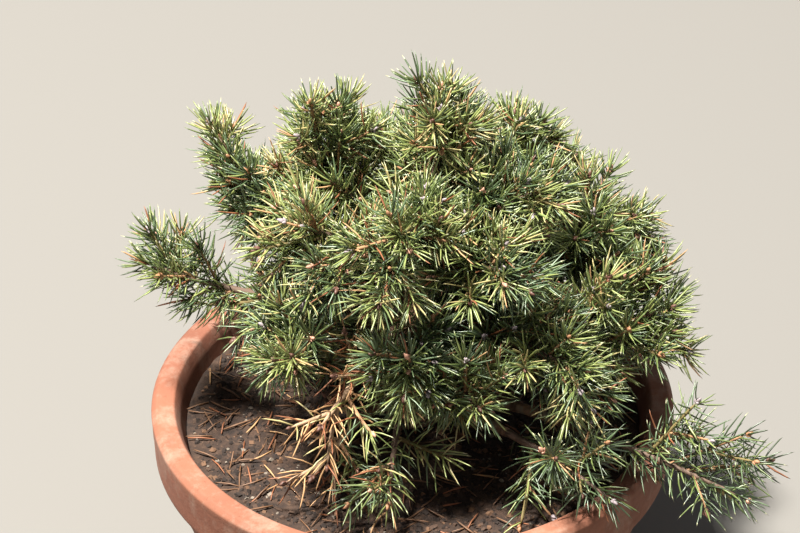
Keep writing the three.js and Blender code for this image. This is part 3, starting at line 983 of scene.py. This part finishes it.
soil = dict(
    belowRim=11, doming=3, domeBend=1.6, flatRadius=16, fromWall=6, relief=1.0, lumpSize=7,
    fineLump=0.8, fineLumpSize=3.1, sunk=0.4, steps=180, longest=2.0, litterTo=86,
)


def soilTop(x, y):
    radius = math.hypot(x, y)
    edge = potTop.x - pot["wall"] - soil["fromWall"]
    share = min(1, max(0, radius - soil["flatRadius"]) / (edge - soil["flatRadius"]))
    level = soilLevel - soil["doming"] * share ** soil["domeBend"]
    lumps = noise.noise(Vector((x, y, 3)) / soil["lumpSize"])
    lumps += soil["fineLump"] * noise.noise(Vector((x, y, 9)) / soil["fineLumpSize"])
    return level + soil["relief"] * lumps - soil["sunk"]


def makeSoil():
    inner = potOutline()[1]
    (lipRadius, lipLevel), (footRadius, footLevel) = inner[1:3]
    edge = potTop.z - soil["belowRim"]
    bottom = footLevel + clearance

    def wallAt(z):
        return mix(footRadius, lipRadius, (z - footLevel) / (lipLevel - footLevel)) - clearance * 2

    outline = [(0, bottom), (wallAt(bottom), bottom), (wallAt(edge), edge), (0, soilLevel)]
    bm = spinOutline(outline, soil["steps"], soil["longest"])
    for vert in bm.verts:
        x, y, z = vert.co / mm
        if z > edge - 1:
            vert.co.z = soilTop(x, y) * mm
    return meshFrom(bm, "compost")


def compostMaterial():
    sheet = NodeSheet("compost_dark")
    clods = sheet.noise(160, 6, 0.7)
    fine = sheet.noise(700, 4, 0.7)
    colour = sheet.blend(sheet.between(clods, 0.35, 0.65), srgb(26, 18, 14), srgb(66, 48, 36))
    colour = sheet.blend(sheet.between(fine, 0.58, 0.7, (0.0, 0.6)), colour, srgb(104, 80, 60))
    return sheet.finish(
        Base_Color=colour, Roughness=0.95, Normal=sheet.bump(clods * 0.6 + fine * 0.4, 1.0, 0.0015))


place(makeSoil(), [compostMaterial()], True, ["soil"])

crumb = dict(
    count=5200, seed=31, sizes=(0.8, 3.0), corners=4, at=(0.16, 0.74), girth=(0.5, 0.46),
    flatness=0.75, shares=(0.5, 0.32, 0.06, 0.12),
)
chip = dict(
    count=150, seed=37, sizes=(3.5, 8.5), corners=5, at=(0.08, 0.5, 0.9), girth=(0.16, 0.26, 0.14),
    flatness=0.3, shares=(0.1, 0.45, 0.0, 0.45),
)
fallen = dict(
    count=420, seed=47, tilt=0.12, above=(0.5, 0.6), length=(0.85, 0.2),
    tones=dict(fallen=0.72, rust=0.18, tan=0.1),
)
lyingTilt, flatTilt, girthVaries = 0.2, 0.25, 0.15  # how unevenly crumbs and chips lie
litterTones = dict(  # in the order of the shares above
    peat=srgb(36, 26, 20), brown=srgb(66, 48, 36), grit=srgb(118, 108, 96),
    chip=srgb(98, 72, 52),
)
litterMaterials = [
    toneMaterial(f"litter_{name}", colour, 0.9) for name, colour in litterTones.items()]


def scatterSpots(count, dice, widest):
    turn = dice.random(count) * math.tau
    radius = widest * np.sqrt(dice.random(count))
    x, y = radius * np.cos(turn), radius * np.sin(turn)
    z = np.array([soilTop(*spot) for spot in zip(x, y)])
    return np.column_stack([x, y, z])


def litterMesh(name, plan):
    dice = np.random.default_rng(plan["seed"])
    count = plan["count"]
    spots = scatterSpots(count, dice, soil["litterTo"])
    lying = unit(np.column_stack([
        dice.normal(0, 1, (count, 2)), dice.normal(0, lyingTilt, count)]))
    size = mix(*plan["sizes"], dice.random(count) ** 2)[:, None]
    flat = unit(np.column_stack([dice.normal(0, flatTilt, (count, 2)), np.ones(count)]))
    side = unit(np.cross(lying, flat))
    over = np.cross(lying, side)
    at = np.array(plan["at"])
    girth = size * np.array(plan["girth"])
    girth = girth * (1 + dice.normal(0, girthVaries, (count, len(at))))
    start = spots - lying * size / 2
    centres = start[:, None] + lying[:, None] * (size * at)[..., None]
    tones = dice.choice(len(litterTones), count, p=plan["shares"])
    return loftMesh(
        name, centres, side[:, None], over[:, None], girth, girth * plan["flatness"],
        start + lying * size, plan["corners"], tones, tones)


def fallenMesh():
    dice = np.random.default_rng(fallen["seed"])
    count = fallen["count"]
    spots = scatterSpots(count, dice, soil["litterTo"])
    direction = unit(np.column_stack([
        dice.normal(0, 1, (count, 2)), dice.normal(0, fallen["tilt"], count)]))
    spots[:, 2] += fallen["above"][0] + fallen["above"][1] * dice.random(count)
    bowed = unit(np.cross(direction, dice.normal(0, 1, (count, 3))))
    long = needle["length"] * (fallen["length"][0] + fallen["length"][1] * dice.random(count))
    shares = fallen["tones"]
    tones = dice.choice([toneNames.index(tone) for tone in shares], count, p=list(shares.values()))
    root = spots - direction * long[:, None] / 2
    return needleMesh("fallenNeedles", [(root, direction, bowed, long, tones)])


for name, plan in (("compostCrumbs", crumb), ("barkChips", chip)):
    place(litterMesh(name, plan), litterMaterials, False)
place(fallenMesh(), needleMaterials)


# Floor, light and camera

view = dict(elevation=35, distance=1.6, lens=183.9, fromFoot=(-5.0, 33.0, 47.2))
studio = dict(floorSize=12, floor=srgb(116, 114, 110), air=srgb(238, 240, 244), airStrength=0.2)
lamps = dict(
    key=dict(
        toward=(-0.3, -0.05, 0.95), distance=3.4, size=0.45, energy=540, colour=(1.0, 0.965, 0.91)),
    fill=dict(
        toward=(0.8, -0.7, 0.4), distance=1.6, size=1.2, energy=2.5, colour=(0.92, 0.96, 1.0)),
)
lampsRound = Vector((0, 0, 0.14))  # the middle of the whole, which the lamps face

bm = bmesh.new()
bmesh.ops.create_grid(bm, x_segments=1, y_segments=1, size=studio["floorSize"] / 2)
floorMesh = meshFrom(bm, "floor")
floorMesh.materials.append(NodeSheet("pale_floor").finish(
    Base_Color=studio["floor"], Roughness=0.9, Specular_IOR_Level=0.1))
floor = bpy.data.objects.new("floor", floorMesh)
bpy.context.scene.collection.objects.link(floor)

world = bpy.data.worlds.new("studio")
bpy.context.scene.world = world
world.use_nodes = True
air = world.node_tree.nodes["Background"]
air.inputs["Color"].default_value = studio["air"]
air.inputs["Strength"].default_value = studio["airStrength"]


def addLamp(name, toward, distance, size, energy, colour):
    lamp = bpy.data.lights.new(name, "AREA")
    lamp.shape = "DISK"
    lamp.size = size
    lamp.energy = energy
    lamp.color = colour
    holder = bpy.data.objects.new(name, lamp)
    direction = Vector(toward).normalized()
    holder.location = lampsRound + direction * distance
    holder.rotation_euler = direction.to_track_quat("Z", "Y").to_euler()
    bpy.context.scene.collection.objects.link(holder)


for name, lampPlan in lamps.items():
    addLamp(name, **lampPlan)

camera = bpy.data.cameras.new("camera")
camera.lens = view["lens"]
camera.clip_start, camera.clip_end = 0.01, 20
cameraHolder = bpy.data.objects.new("camera", camera)
aside, behind, above = view["fromFoot"]
target = Vector((aside, behind, above + soilLevel)) * mm
lift = math.radians(view["elevation"])
back = Vector((0, -math.cos(lift), math.sin(lift)))
cameraHolder.location = target + back * view["distance"]
cameraHolder.rotation_euler = back.to_track_quat("Z", "Y").to_euler()
bpy.context.scene.collection.objects.link(cameraHolder)
bpy.context.scene.camera = cameraHolder
bpy.context.scene.view_settings.view_transform = "Standard"
print("floor, light and camera placed")
